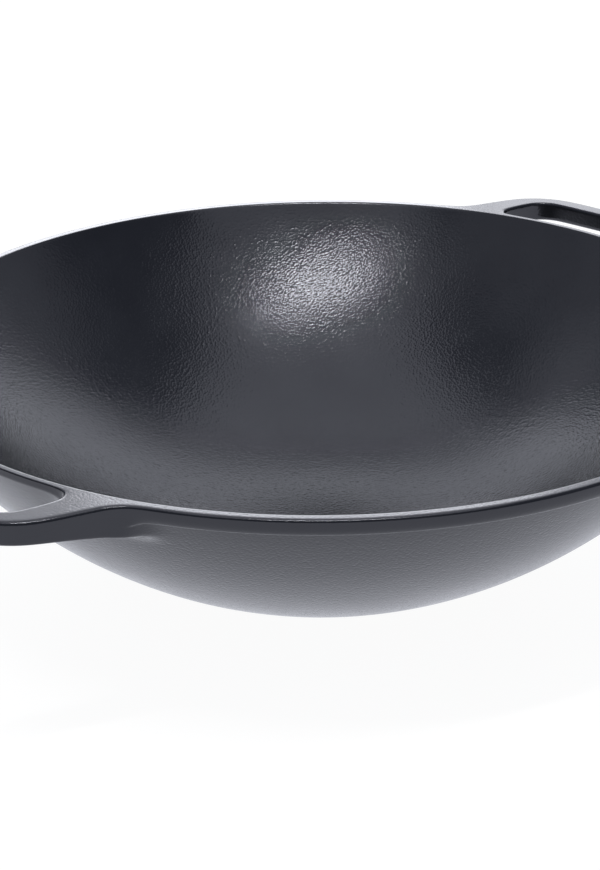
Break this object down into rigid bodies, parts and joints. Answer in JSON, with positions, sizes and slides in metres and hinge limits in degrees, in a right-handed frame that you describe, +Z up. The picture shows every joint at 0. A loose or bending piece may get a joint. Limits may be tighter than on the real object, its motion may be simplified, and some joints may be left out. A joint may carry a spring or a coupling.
{
  "type": "wok",
  "caption": "Round cast-iron wok with a flat base, curved bowl, thick rim band and a loop handle on each side, for frying and stewing on a hob.",
  "frame": {"origin": "middle of the flat base's underside", "axes": "+Z up out of the bowl, +X through the middle of the right handle, -X through the left one"},
  "size_m": [0.419, 0.356, 0.099],
  "materials": {
    "seasoned_iron": "pre-seasoned black iron, satin, with the fine grain of a sand casting"
  },
  "bodies": {
    "root": {"base_disc": "seasoned_iron", "lower_wall": "seasoned_iron", "middle_wall": "seasoned_iron", "upper_wall": "seasoned_iron", "rim_band": "seasoned_iron", "left_handle": "seasoned_iron", "right_handle": "seasoned_iron"}
  },
  "joints": []
}
